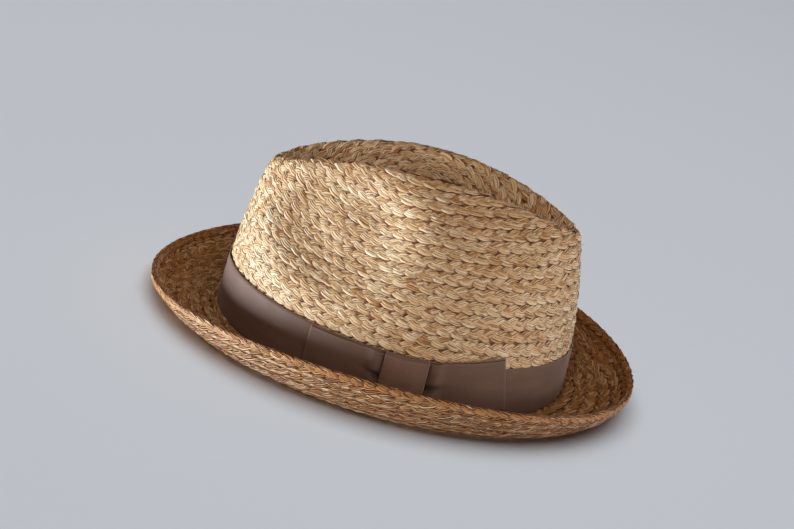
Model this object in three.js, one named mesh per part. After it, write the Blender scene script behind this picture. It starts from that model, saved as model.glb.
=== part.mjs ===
/*
 * A straw fedora with a ribbon hatband and a flat bow, in millimetres.
 *
 * +Z is up, the front of the hat points to -Y and the bow sits on the +X side.
 * The underside of the brim rests on Z = 0, and the origin lies there under the
 * middle of the brim. An angle of 0 looks along +X, and 90 degrees looks to the back.
 */
import * as THREE from 'three';

// Straw and ribbon
const STRAW_WALL = 2.2;
const RIBBON_WALL = 0.8;
const CLEARANCE = 0.3;

// The outer oval of the crown where it meets the brim
const HEAD = { halfWidth: 87.2, halfLength: 104.3, egg: 0.034, centreY: 1.1 };

// The fold that runs round the top of the crown, a narrow loop that is wider in front
const RIDGE = { halfWidth: 25, taper: -0.17, halfLength: 91.4, height: 117.4, backLift: 3.3, endDrop: 19.7 };

// The wall of the crown leans in from the base, and its top sinks into a long dent
const CROWN = {
  baseZ: STRAW_WALL + CLEARANCE,
  sideLean: THREE.MathUtils.degToRad(3.5),
  dentDepth: 27,
  ridgeRound: 4.5,
  frontRound: 5.5,
};

// A hollow pressed into each side of the crown near the front
const PINCH = { depth: 16, y: -36.5, z: 78, spreadY: 28, spreadZ: 18.5, power: 1.9, turn: 0.25, fullAtX: 25 };

// The outline of the brim's edge, and the curl that carries it there
const RIM = { halfWidth: 119, halfLength: 147.3, egg: 0.017, height: 19.4, sideLift: 5.8, backLift: 2.8 };
const BRIM = { landShare: 0.55, curl: THREE.MathUtils.degToRad(80) };

// The ribbon round the crown
const BAND = { width: 28.8, lift: CLEARANCE };

// The bow: distances run along the hatband from the middle of the +X side to the back
const KNOT = { start: 9.1, end: 33.7, bottom: 0.8, top: 27.2, bulge: 0.8 };
const LOOP = { length: 45.3, halfHeight: 13.7, pinchedHalfHeight: 11.6, pinchReach: 14, tuck: 9, puff: 2.4 };
const LOOPS = [
  { name: 'bow_front_loop', from: KNOT.start, heading: -1, middle: 14.4, rise: 0, endSlant: 0 },
  { name: 'bow_rear_loop', from: KNOT.end, heading: 1, middle: 14.4, rise: 8.2, endSlant: 0.27 },
];

// Facets
const ROUND_STEPS = 64;
const WALL_STEPS = 6;
const RIDGE_STEPS = 4;
const TOP_STEPS = 5;
const CURL_STEPS = 6;
const LOOP_STEPS = 10;
const LOOP_ROWS = 4;
const FOLD_STEPS = 4;
const KNOT_STEPS = 6;
const KNOT_ROWS = 4;

const STRAW = new THREE.MeshStandardMaterial({ color: 0xbf9f7c, roughness: 0.62, metalness: 0 });
const RIBBON = new THREE.MeshStandardMaterial({ color: 0x5d4a42, roughness: 0.55, metalness: 0 });

/** A point on an egg-shaped oval: a larger egg value makes the back wider. */
function ovalPoint(shape, angle, z) {
  const x = shape.halfWidth * Math.cos(angle) * (1 + shape.egg * Math.sin(angle));
  const y = (shape.centreY ?? 0) + shape.halfLength * Math.sin(angle);
  return new THREE.Vector3(x, y, z);
}

/** A point on the fold round the top of the crown. */
function ridgePoint(angle) {
  const toBack = Math.sin(angle);
  const x = RIDGE.halfWidth * Math.cos(angle) * (1 + RIDGE.taper * toBack);
  return new THREE.Vector3(x, RIDGE.halfLength * toBack, ridgeHeight(toBack));
}

/** The height of the fold, where toBack runs from -1 at the front to 1 at the back. */
function ridgeHeight(toBack) {
  return RIDGE.height + RIDGE.backLift * toBack - RIDGE.endDrop * toBack * toBack;
}

/**
 * The crown's wall at one angle: a parabola that starts upright in front and behind, leans a
 * little at the sides, and bends in to the fold.
 */
function wallCurve(angle) {
  const base = ovalPoint(HEAD, angle, CROWN.baseZ);
  const chord = ridgePoint(angle).sub(base);
  const length = chord.length();
  const inward = Math.hypot(chord.x, chord.y);
  const lean = Math.atan2(inward, chord.z);
  const baseLean = CROWN.sideLean * Math.cos(angle) ** 2;
  const bulge = (length / 4) * Math.tan(lean - baseLean);
  const outward = new THREE.Vector3(
    (-chord.x / inward) * Math.cos(lean),
    (-chord.y / inward) * Math.cos(lean),
    Math.sin(lean),
  );
  const at = (share) => base.clone()
    .addScaledVector(chord, share)
    .addScaledVector(outward, 4 * bulge * share * (1 - share));
  const speed = (share) => Math.hypot(length, 4 * bulge * (1 - 2 * share));
  return { at, speed, length };
}

/** The crown's sunken top at one angle, from the fold at share 1 to the centre at share 0. */
function topPoint(angle, share) {
  const edge = ridgePoint(angle);
  const y = edge.y * share;
  const z = ridgeHeight(y / RIDGE.halfLength) - CROWN.dentDepth * (1 - share * share);
  return new THREE.Vector3(edge.x * share, y, z);
}

/** Presses the side hollows into a point of the crown, each a flat-bottomed bell curve, turned. */
function pinched(point) {
  const fromY = point.y - PINCH.y;
  const fromZ = point.z - PINCH.z;
  const alongY = (fromY * Math.cos(PINCH.turn) + fromZ * Math.sin(PINCH.turn)) / PINCH.spreadY;
  const alongZ = (fromZ * Math.cos(PINCH.turn) - fromY * Math.sin(PINCH.turn)) / PINCH.spreadZ;
  const fade = Math.min(Math.abs(point.x) / PINCH.fullAtX, 1);
  const bell = Math.exp(-(((alongY * alongY + alongZ * alongZ) / 2) ** PINCH.power));
  const depth = PINCH.depth * fade * bell;
  point.x -= Math.sign(point.x) * depth;
  return point;
}

/**
 * The crown's outer skin. Station 0 to 1 climbs the wall, 1 to 2 rounds the fold on a
 * quadratic curve, and 2 to 3 runs down into the dent and ends at its centre.
 */
function crownPoint(angle, station) {
  const toFront = Math.max(-Math.sin(angle), 0);
  const round = CROWN.ridgeRound + CROWN.frontRound * toFront * toFront;
  const wall = wallCurve(angle);
  const edge = ridgePoint(angle);
  const wallEnd = 1 - round / wall.length;
  const topStart = 1 - round / Math.hypot(edge.x, edge.y, CROWN.dentDepth);
  if (station <= 1) {
    return pinched(wall.at(wallEnd * station));
  }
  if (station >= 2) {
    return pinched(topPoint(angle, topStart * (3 - station)));
  }
  const t = station - 1;
  const point = wall.at(wallEnd).multiplyScalar((1 - t) * (1 - t))
    .addScaledVector(edge, 2 * t * (1 - t))
    .addScaledVector(topPoint(angle, topStart), t * t);
  return pinched(point);
}

/** The station on the wall that lies a given distance above the base, measured on the straw. */
function stationAbove(angle, distance) {
  const toFront = Math.max(-Math.sin(angle), 0);
  const round = CROWN.ridgeRound + CROWN.frontRound * toFront * toFront;
  const wall = wallCurve(angle);
  const firstShare = distance / wall.speed(0);
  const share = distance / wall.speed(firstShare / 2);
  return share / (1 - round / wall.length);
}

/** The outward direction of the crown's skin. */
function crownNormal(angle, station) {
  const step = 0.01;
  const around = crownPoint(angle + step, station).sub(crownPoint(angle - step, station));
  const up = crownPoint(angle, station + step).sub(crownPoint(angle, station - step));
  return around.cross(up).normalize();
}

/** A point off the crown's wall: round to an angle, up from the base, and out by a lift. */
function offWall(angle, distance, lift) {
  const station = stationAbove(angle, distance);
  return crownPoint(angle, station).addScaledVector(crownNormal(angle, station), lift);
}

/** A body from a list of points and a list of triangles that point to them. */
function bodyOf(points, triangles) {
  const geometry = new THREE.BufferGeometry();
  const positions = points.flatMap((point) => [point.x, point.y, point.z]);
  geometry.setAttribute('position', new THREE.Float32BufferAttribute(positions, 3));
  geometry.setIndex(triangles.flat());
  geometry.computeVertexNormals();
  return geometry;
}

/** The two triangles of each cell between two rows of point numbers. */
function stitch(rowA, rowB, closed) {
  const cells = closed ? rowA.length : rowA.length - 1;
  const triangles = [];
  for (let i = 0; i < cells; i += 1) {
    const j = (i + 1) % rowA.length;
    triangles.push([rowA[i], rowA[j], rowB[j]]);
    triangles.push([rowA[i], rowB[j], rowB[i]]);
  }
  return triangles;
}

/** A ring made by carrying one closed section round the hat. */
function ringBody(sectionAt) {
  const sections = roundAngles().map(sectionAt);
  const count = sections[0].length;
  const row = (index) => sections.map((_, turn) => turn * count + index);
  const triangles = [];
  for (let i = 0; i < count; i += 1) {
    triangles.push(...stitch(row(i), row((i + 1) % count), true));
  }
  return bodyOf(sections.flat(), triangles);
}

/** A bar made by carrying one closed section along an open path, with flat ends. */
function barBody(sections) {
  const count = sections[0].length;
  const row = (index) => sections[0].map((_, corner) => index * count + corner);
  const triangles = [];
  for (let i = 0; i + 1 < sections.length; i += 1) {
    triangles.push(...stitch(row(i), row(i + 1), true));
  }
  const half = count / 2;
  const capCell = (start, a) => [start + a, start + a + 1, start + count - 2 - a, start + count - 1 - a];
  const last = (sections.length - 1) * count;
  for (let a = 0; a + 1 < half; a += 1) {
    const [p, q, r, s] = capCell(0, a);
    triangles.push([p, r, q], [p, s, r]);
    const [t, u, v, w] = capCell(last, a);
    triangles.push([t, u, v], [t, v, w]);
  }
  return bodyOf(sections.flat(), triangles);
}

/** Turns a body that was stitched inside out. */
function outward(geometry) {
  const index = geometry.index.array;
  const position = geometry.attributes.position;
  const corner = (i) => new THREE.Vector3().fromBufferAttribute(position, index[i]);
  let volume = 0;
  for (let i = 0; i < index.length; i += 3) {
    volume += corner(i).dot(corner(i + 1).cross(corner(i + 2)));
  }
  if (volume < 0) {
    for (let i = 0; i < index.length; i += 3) {
      [index[i + 1], index[i + 2]] = [index[i + 2], index[i + 1]];
    }
    geometry.computeVertexNormals();
  }
  return geometry;
}

function roundAngles() {
  return Array.from({ length: ROUND_STEPS }, (_, i) => (2 * Math.PI * i) / ROUND_STEPS);
}

/** Even steps from a to b, with both ends. */
function steps(a, b, count) {
  return Array.from({ length: count + 1 }, (_, i) => a + ((b - a) * i) / count);
}

/** The stations of the crown's rows at one angle, without the centre of the dent. */
function crownStations(angle) {
  const bandMiddle = stationAbove(angle, BAND.width / 2);
  const bandTop = stationAbove(angle, BAND.width);
  return [
    0,
    bandMiddle,
    ...steps(bandTop, 1, WALL_STEPS),
    ...steps(1, 2, RIDGE_STEPS).slice(1),
    ...steps(2, 3, TOP_STEPS).slice(1, -1),
  ];
}

/** The crown is a bowl of even wall, open below, with a flat edge that stands on the brim. */
function crownBody() {
  const outer = [];
  const inner = [];
  for (const angle of roundAngles()) {
    for (const station of crownStations(angle)) {
      const skin = crownPoint(angle, station);
      const lining = skin.clone().addScaledVector(crownNormal(angle, station), -STRAW_WALL);
      if (station === 0) {
        lining.z = skin.z;
      }
      outer.push(skin);
      inner.push(lining);
    }
  }
  const rows = outer.length / ROUND_STEPS;
  const row = (side, index) => roundAngles().map((_, turn) => side * outer.length + turn * rows + index);
  const centre = crownPoint(0, 3);
  const points = [...outer, ...inner, centre, centre.clone().setZ(centre.z - STRAW_WALL)];
  const outerCentre = points.length - 2;
  const innerCentre = points.length - 1;
  const triangles = [...stitch(row(1, 0), row(0, 0), true)];
  for (let i = 0; i + 1 < rows; i += 1) {
    triangles.push(...stitch(row(0, i), row(0, i + 1), true));
    triangles.push(...stitch(row(1, i + 1), row(1, i), true));
  }
  const lastOuter = row(0, rows - 1);
  const lastInner = row(1, rows - 1);
  for (let i = 0; i < ROUND_STEPS; i += 1) {
    const j = (i + 1) % ROUND_STEPS;
    triangles.push([lastOuter[i], lastOuter[j], outerCentre]);
    triangles.push([lastInner[j], lastInner[i], innerCentre]);
  }
  return outward(bodyOf(points, triangles));
}

/** The rim of the brim, which stands highest at the sides. */
function rimPoint(angle) {
  const z = RIM.height + RIM.sideLift * Math.cos(2 * angle) + RIM.backLift * Math.sin(angle);
  return ovalPoint(RIM, angle, z);
}

/**
 * The closed section of the brim at one angle: a flat land round the head opening, then a
 * quarter of an ellipse up to the rim. The upper side is the lower side moved by the wall.
 */
function brimSection(angle) {
  const head = ovalPoint(HEAD, angle, 0);
  const rim = rimPoint(angle);
  const across = new THREE.Vector3(rim.x - head.x, rim.y - head.y, 0);
  const reach = across.length();
  across.normalize();
  const land = reach * BRIM.landShare;
  const sweep = (reach - land) / Math.sin(BRIM.curl);
  const climb = rim.z / (1 - Math.cos(BRIM.curl));
  const at = (out, z) => head.clone().addScaledVector(across, out).setZ(z);
  const opening = crownNormal(angle, 0).setZ(0).normalize().multiplyScalar(-STRAW_WALL);
  const inside = head.clone().add(opening);
  const lower = [inside, at(0, 0)];
  const upper = [inside.clone().setZ(STRAW_WALL), at(0, STRAW_WALL)];
  for (const turn of steps(0, BRIM.curl, CURL_STEPS)) {
    const out = land + sweep * Math.sin(turn);
    const z = climb * (1 - Math.cos(turn));
    const slope = Math.atan2(climb * Math.sin(turn), sweep * Math.cos(turn));
    lower.push(at(out, z));
    upper.push(at(out - STRAW_WALL * Math.sin(slope), z + STRAW_WALL * Math.cos(slope)));
  }
  return [...lower, ...upper.reverse()];
}

/** The closed section of the hatband at one angle. */
function bandSection(angle) {
  const heights = [0, BAND.width / 2, BAND.width];
  const back = heights.map((height) => offWall(angle, height, BAND.lift));
  const face = heights.map((height) => offWall(angle, height, BAND.lift + RIBBON_WALL));
  return [...face, ...back.reverse()];
}

/** The head oval as a curve, which gives the angle at a distance along the hatband. */
class HeadOval extends THREE.Curve {
  getPoint(t) {
    return ovalPoint(HEAD, t * Math.PI, 0);
  }
}
const headOval = new HeadOval();
headOval.arcLengthDivisions = 720;

function angleAlong(distance) {
  return Math.sign(distance) * headOval.getUtoTmapping(0, Math.abs(distance)) * Math.PI;
}

/** Rises smoothly from 0 to 1 as x goes from 0 to 1. */
function smooth(x) {
  const t = THREE.MathUtils.clamp(x, 0, 1);
  return t * t * (3 - 2 * t);
}

// Lifts of the layers of the bow above the straw, each at the middle of its ribbon
const INNER_LAYER = BAND.lift + RIBBON_WALL + CLEARANCE + RIBBON_WALL / 2;
const OUTER_LAYER = INNER_LAYER + RIBBON_WALL + CLEARANCE;
const KNOT_LAYER = OUTER_LAYER + RIBBON_WALL + CLEARANCE;

/** How far the outer layer of a loop stands off, out from the knot and up from the middle. */
function loopPuff(out, up) {
  if (out <= 0) {
    return 0;
  }
  const rise = 1 - Math.exp(-out / 6);
  const fall = 1 - smooth((out - 0.55 * LOOP.length) / (0.45 * LOOP.length));
  const tuckIn = 0.85 * Math.exp(-((up / 5) ** 2)) * Math.exp(-out / 9);
  return LOOP.puff * rise * fall * (1 - tuckIn);
}

/**
 * One loop of the bow: the ribbon starts under the knot, runs out along the hatband, folds
 * round at its end and comes back as the outer layer, to end under the knot again.
 */
function loopBody(loop) {
  const path = [];
  for (const out of steps(-LOOP.tuck, LOOP.length - 1, LOOP_STEPS)) {
    path.push({ out, lift: INNER_LAYER, turn: 0, layer: 0 });
  }
  const radius = (OUTER_LAYER - INNER_LAYER) / 2;
  for (const turn of steps(0, Math.PI, FOLD_STEPS).slice(1, -1)) {
    path.push({
      out: LOOP.length - 1 + radius * Math.sin(turn),
      lift: INNER_LAYER + radius * (1 - Math.cos(turn)),
      turn,
      layer: 0,
    });
  }
  for (const out of steps(LOOP.length - 1, -LOOP.tuck, 2 * LOOP_STEPS)) {
    path.push({ out, lift: OUTER_LAYER, turn: Math.PI, layer: 1 });
  }
  const sections = path.map((stop) => loopSection(loop, stop));
  return outward(barBody(sections));
}

function loopSection(loop, stop) {
  const spread = smooth(stop.out / LOOP.pinchReach);
  const half = THREE.MathUtils.lerp(LOOP.pinchedHalfHeight, LOOP.halfHeight, spread);
  const reach = Math.max(stop.out / LOOP.length, 0);
  const knotMiddle = (KNOT.bottom + KNOT.top) / 2;
  const level = THREE.MathUtils.lerp(knotMiddle, loop.middle, spread) + loop.rise * reach;
  const row = (up, side) => {
    const lift = stop.lift + stop.layer * loopPuff(stop.out, up);
    const shiftOut = (-side * Math.sin(stop.turn) * RIBBON_WALL) / 2;
    const shiftLift = (side * Math.cos(stop.turn) * RIBBON_WALL) / 2;
    const out = stop.out + shiftOut - loop.endSlant * up * reach;
    const angle = angleAlong(loop.from + loop.heading * out);
    return offWall(angle, level + up, lift + shiftLift);
  };
  const ups = steps(-half, half, LOOP_ROWS);
  return [...ups.map((up) => row(up, -1)), ...ups.reverse().map((up) => row(up, 1))];
}

/** The knot: a strip laid over the inner ends of both loops, turned in at its top and bottom. */
function knotBody() {
  const wall = RIBBON_WALL / 2;
  const middle = (KNOT.bottom + KNOT.top) / 2;
  const half = (KNOT.top - KNOT.bottom) / 2;
  const path = [
    { up: half - wall, lift: INNER_LAYER, faceUp: 1, faceOut: 0 },
    { up: half - wall, lift: KNOT_LAYER - 1, faceUp: 1, faceOut: 0 },
    { up: half - wall - 0.3, lift: KNOT_LAYER - 0.3, faceUp: 0.7, faceOut: 0.7 },
    ...steps(half - 1.6, 1.6 - half, KNOT_ROWS).map((up) => ({
      up,
      lift: KNOT_LAYER + KNOT.bulge * (1 - (up / half) ** 2),
      faceUp: 0,
      faceOut: 1,
    })),
    { up: wall + 0.3 - half, lift: KNOT_LAYER - 0.3, faceUp: -0.7, faceOut: 0.7 },
    { up: wall - half, lift: KNOT_LAYER - 1, faceUp: -1, faceOut: 0 },
    { up: wall - half, lift: INNER_LAYER, faceUp: -1, faceOut: 0 },
  ];
  const alongs = steps(KNOT.start, KNOT.end, KNOT_STEPS);
  const sections = path.map((stop) => {
    const row = (side) => alongs.map((along) => offWall(
      angleAlong(along),
      middle + stop.up + side * wall * stop.faceUp,
      stop.lift + side * wall * stop.faceOut,
    ));
    return [...row(-1), ...row(1).reverse()];
  });
  return outward(barBody(sections));
}

function mesh(name, geometry, material) {
  const piece = new THREE.Mesh(geometry, material.clone());
  piece.name = name;
  return piece;
}

const hat = new THREE.Group();
hat.name = 'straw_fedora';
hat.add(mesh('crown', crownBody(), STRAW));
hat.add(mesh('brim', outward(ringBody(brimSection)), STRAW));
hat.add(mesh('hatband', outward(ringBody(bandSection)), RIBBON));
for (const loop of LOOPS) {
  hat.add(mesh(loop.name, loopBody(loop), RIBBON));
}
hat.add(mesh('bow_knot', knotBody(), RIBBON));

export default hat;
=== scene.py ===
"""A straw fedora, dressed for its picture.

The straw is one long three-strand plait, sewn in a spiral from the middle of the crown down
the wall and out over the brim, with a last turn of plait folded over the edge. A ribbed
ribbon runs round the foot of the crown and ends in a flat bow on the +X side.

Lengths in this file are millimetres and become metres where a mesh is made. +Z is up, the
front of the hat points to -Y, and angles run from +X to the back.
"""

from __future__ import annotations

import logging
import math
from dataclasses import dataclass, field
from enum import Enum

import bpy
import numpy as np
from bpy.types import Material, NodeSocket, Object
from mathutils import Matrix, Vector

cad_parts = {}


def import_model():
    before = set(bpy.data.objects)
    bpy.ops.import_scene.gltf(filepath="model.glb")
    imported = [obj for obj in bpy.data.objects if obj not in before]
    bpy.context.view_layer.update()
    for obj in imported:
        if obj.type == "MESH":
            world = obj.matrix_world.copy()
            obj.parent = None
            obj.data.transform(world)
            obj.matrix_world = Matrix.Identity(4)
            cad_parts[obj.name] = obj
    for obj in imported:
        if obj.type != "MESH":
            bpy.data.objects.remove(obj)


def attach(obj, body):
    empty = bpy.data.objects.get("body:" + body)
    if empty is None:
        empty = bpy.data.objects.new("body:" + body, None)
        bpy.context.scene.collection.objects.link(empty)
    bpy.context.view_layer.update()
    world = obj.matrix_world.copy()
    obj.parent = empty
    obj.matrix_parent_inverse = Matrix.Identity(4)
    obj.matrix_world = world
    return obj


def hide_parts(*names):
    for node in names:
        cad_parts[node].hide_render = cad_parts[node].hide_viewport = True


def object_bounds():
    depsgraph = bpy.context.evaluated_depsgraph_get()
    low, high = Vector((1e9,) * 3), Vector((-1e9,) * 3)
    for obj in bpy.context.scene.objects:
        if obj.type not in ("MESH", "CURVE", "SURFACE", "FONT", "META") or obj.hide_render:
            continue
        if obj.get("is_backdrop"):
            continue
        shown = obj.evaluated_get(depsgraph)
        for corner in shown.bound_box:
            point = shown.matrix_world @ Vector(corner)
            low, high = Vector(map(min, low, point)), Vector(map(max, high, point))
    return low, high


MM = 0.001
PICTURE_WIDTH = 794
PLAIT_PITCH = 7.2
RIBBON_WIDTH = 28.8
RIBBON_THICKNESS = 0.5
TURN_STEPS = 720

Array = np.ndarray
Pair = tuple[float, float]
Triple = tuple[float, float, float]
Colour = tuple[float, float, float, float]
WHITE: Colour = (1.0, 1.0, 1.0, 1.0)

log = logging.getLogger("fedora")


# Numbers and curves


def smooth(x: Array) -> Array:
    """Rises from 0 to 1 as x does, and is flat at both ends."""
    t = np.clip(x, 0.0, 1.0)
    return t * t * (3.0 - 2.0 * t)


def fade(distance: Array, reach: float, power: float = 1.0) -> Array:
    """Falls from 1 at distance 0 as the exponential of -(distance / reach)^power."""
    return np.exp(-((np.maximum(distance, 0.0) / reach) ** power))


def bell(x: Array, middle: float, width: float) -> Array:
    """A bell curve that is 1 at its middle."""
    return np.exp(-(((x - middle) / width) ** 2))


def arc(start: Array, control: Array, stop: Array, turn: Array) -> Array:
    """A quadratic curve from start to stop, drawn towards control, at each turn from 0 to 1."""
    return start * (1.0 - turn) ** 2 + control * 2.0 * turn * (1.0 - turn) + stop * turn**2


def unit(vectors: Array) -> Array:
    """Vectors of length 1."""
    return vectors / np.maximum(np.linalg.norm(vectors, axis=-1, keepdims=True), 1e-9)


def drift(distance: Array, spacing: float, seed: int) -> Array:
    """A number that wanders smoothly between random values at even knots.

    Args:
        distance: Where it is read.
        spacing: The length between two knots.
        seed: Picks the random values.

    Returns:
        The value at each distance, between -1 and 1.
    """
    place = np.maximum(distance, 0.0) / spacing
    knots = np.random.default_rng(seed).uniform(-1.0, 1.0, int(place.max()) + 2)
    before = place.astype(int)
    share = smooth(place - before)
    return knots[before] * (1.0 - share) + knots[before + 1] * share


@dataclass(frozen=True)
class Wander:
    """How far something wanders along a length, and the spacing of its turns."""

    amount: float
    spacing: float

    def at(self, length: Array, seed: int) -> Array:
        """The wander at each length, between -amount and amount."""
        return self.amount * drift(length, self.spacing, seed)


def running_length(points: Array) -> Array:
    """The length from the first point to each point, along the second axis from the end."""
    steps = np.linalg.norm(np.diff(points, axis=-2), axis=-1)
    zero = np.zeros(steps.shape[:-1] + (1,))
    return np.concatenate([zero, np.cumsum(steps, axis=-1)], axis=-1)


def grid_normals(points: Array, closed: bool) -> Array:
    """Unit normals of a grid: steps along the first axis crossed with steps along the second.

    Args:
        points: The grid, with shape (first, second, 3).
        closed: Whether the first axis meets itself.

    Returns:
        One normal for each point.
    """
    if closed:
        along = np.roll(points, -1, axis=0) - np.roll(points, 1, axis=0)
    else:
        along = np.gradient(points, axis=0)
    return unit(np.cross(along, np.gradient(points, axis=1)))


# The shape of the hat


@dataclass(frozen=True)
class Oval:
    """An egg-shaped oval. A larger egg value makes the back wider."""

    half_width: float
    half_length: float
    egg: float
    centre_y: float = 0.0

    def at(self, angle: Array) -> Array:
        """Points (x, y) of the oval: x = w cos(1 + egg sin), y = centre + l sin."""
        x = self.half_width * np.cos(angle) * (1.0 + self.egg * np.sin(angle))
        y = self.centre_y + self.half_length * np.sin(angle)
        return np.stack([x, y], axis=-1)


HEAD = Oval(87.2, 104.3, 0.034, 1.1)


@dataclass(frozen=True)
class CrownForm:
    """The outer skin of the crown: a leaning wall, a fold round the top and a long dent."""

    base_z: float = 2.5
    side_lean: float = math.radians(3.5)
    dent_depth: float = 27.0
    fold_round: float = 4.5
    front_round: float = 5.5
    fold_half_width: float = 25.0
    fold_taper: float = -0.17
    fold_half_length: float = 91.4
    fold_height: float = 117.4
    back_lift: float = 3.3
    end_drop: float = 19.7
    pinch_depth: float = 16.0
    pinch_y: float = -36.5
    pinch_z: float = 78.0
    pinch_spread_y: float = 28.0
    pinch_spread_z: float = 18.5
    pinch_power: float = 1.9
    pinch_turn: float = 0.25
    pinch_full_at_x: float = 25.0
    stations: tuple[int, int, int] = (260, 40, 160)

    def base(self, angle: Array) -> Array:
        """Points of the head line at the foot of the wall."""
        return np.concatenate([HEAD.at(angle), np.full(angle.shape + (1,), self.base_z)], axis=-1)

    def fold_z(self, to_back: Array) -> Array:
        """The fold's height, where to_back runs from -1 in front to 1 at the back."""
        return self.fold_height + self.back_lift * to_back - self.end_drop * to_back**2

    def fold(self, angle: Array) -> Array:
        """Points of the narrow loop that the fold follows."""
        to_back = np.sin(angle)
        x = self.fold_half_width * np.cos(angle) * (1.0 + self.fold_taper * to_back)
        return np.stack([x, self.fold_half_length * to_back, self.fold_z(to_back)], axis=-1)

    def top(self, angle: Array, share: Array) -> Array:
        """The dent: the fold's own loop drawn in to share of its size, and sunk by 1 - share²."""
        edge = self.fold(angle)
        y = edge[..., 1] * share
        z = self.fold_z(y / self.fold_half_length) - self.dent_depth * (1.0 - share**2)
        return np.stack([edge[..., 0] * share, y, z], axis=-1)

    def wall(self, angle: Array, share: Array) -> Array:
        """The wall: the chord from base to fold, bulged outward by a parabola.

        The bulge is a quarter of the chord times the tangent of the angle between the chord
        and the lean that the wall starts with.
        """
        base = self.base(angle)
        chord = self.fold(angle) - base
        length = np.linalg.norm(chord, axis=-1)
        inward = np.linalg.norm(chord[..., :2], axis=-1)
        lean = np.arctan2(inward, chord[..., 2])
        bulge = length / 4.0 * np.tan(lean - self.side_lean * np.cos(angle) ** 2)
        level = -chord[..., :2] / inward[..., None] * np.cos(lean)[..., None]
        outward = np.concatenate([level, np.sin(lean)[..., None]], axis=-1)
        stand_off = 4.0 * bulge * share * (1.0 - share)
        return base + chord * share[..., None] + outward * stand_off[..., None]

    def pinched(self, points: Array) -> Array:
        """Presses the two side hollows in, as a bell curve that fades at the middle.

        The bell is turned in the plane of y and z, and a raised power flattens its bottom.
        """
        from_y, from_z = points[..., 1] - self.pinch_y, points[..., 2] - self.pinch_z
        cos, sin = math.cos(self.pinch_turn), math.sin(self.pinch_turn)
        along_y = (from_y * cos + from_z * sin) / self.pinch_spread_y
        along_z = (from_z * cos - from_y * sin) / self.pinch_spread_z
        full = np.minimum(np.abs(points[..., 0]) / self.pinch_full_at_x, 1.0)
        depth = self.pinch_depth * full * fade((along_y**2 + along_z**2) / 2.0, 1.0, self.pinch_power)
        pressed = points.copy()
        pressed[..., 0] -= np.sign(points[..., 0]) * depth
        return pressed

    def meridians(self, angles: Array) -> Array:
        """The skin from the base to the middle of the dent, with an arc in between.

        Args:
            angles: The angle of each meridian.

        Returns:
            Points with shape (angles, stations, 3).
        """
        angle = angles[:, None]
        fold_round = self.fold_round + self.front_round * np.maximum(-np.sin(angle), 0.0) ** 2
        edge = self.fold(angle)
        wall_end = 1.0 - fold_round / np.linalg.norm(edge - self.base(angle), axis=-1)
        run_in = np.sqrt(edge[..., 0] ** 2 + edge[..., 1] ** 2 + self.dent_depth**2)
        top_start = 1.0 - fold_round / run_in
        on_wall, on_bend, on_dent = self.stations
        rise = np.linspace(0.0, 1.0, on_wall)
        turn = np.linspace(0.0, 1.0, on_bend)[1:, None]
        sink = np.linspace(1.0, 0.0, on_dent)[1:]
        wall = self.wall(angle + 0.0 * rise, wall_end * rise)
        bend = arc(wall[:, -1:], edge, self.top(angle, top_start), turn)
        dent = self.top(angle + 0.0 * sink, top_start * sink)
        return self.pinched(np.concatenate([wall, bend, dent], axis=1))


@dataclass(frozen=True)
class BrimForm:
    """The underside of the brim: a flat land, then part of an ellipse up to the rim."""

    rim: Oval = Oval(119.0, 147.3, 0.017)
    rim_height: float = 19.4
    side_lift: float = 5.8
    back_lift: float = 2.8
    land_share: float = 0.55
    curl: float = math.radians(80.0)
    curl_stations: int = 90
    land_stations: int = 60

    def section(self, angles: Array, lift: float) -> tuple[Array, Array]:
        """The brim's section at each angle, from the rim in to the head line.

        The curl goes out by a sweep times the sine of the turn and up by a climb times one
        less its cosine. The lift moves each point square to the section.

        Args:
            angles: The angle of each section.
            lift: How far above the underside the section lies.

        Returns:
            Points with shape (angles, stations, 3), and the way each section climbs at the rim.
        """
        angle = angles[:, None]
        head = HEAD.at(angle)
        rim = self.rim.at(angle)
        across = unit(rim - head)
        reach = np.linalg.norm(rim - head, axis=-1)
        land = reach * self.land_share
        sweep = (reach - land) / math.sin(self.curl)
        rim_z = self.rim_height + self.side_lift * np.cos(2.0 * angle)
        climb = (rim_z + self.back_lift * np.sin(angle)) / (1.0 - math.cos(self.curl))
        turn = np.linspace(self.curl, 0.0, self.curl_stations)[None, :]
        flat = np.linspace(1.0, 0.0, self.land_stations)[None, 1:]
        slope = np.arctan2(climb * np.sin(turn), sweep * np.cos(turn))
        curled = land + sweep * np.sin(turn) - lift * np.sin(slope)
        height = climb * (1.0 - np.cos(turn)) + lift * np.cos(slope)
        out = np.concatenate([curled, land * flat], axis=1)
        height = np.concatenate([height, lift + 0.0 * land * flat], axis=1)
        points = np.concatenate([head + across * out[..., None], height[..., None]], axis=-1)
        rim_slope = slope[:, :1]
        return points, np.concatenate([across[:, 0] * np.cos(rim_slope), np.sin(rim_slope)], axis=-1)


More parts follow.
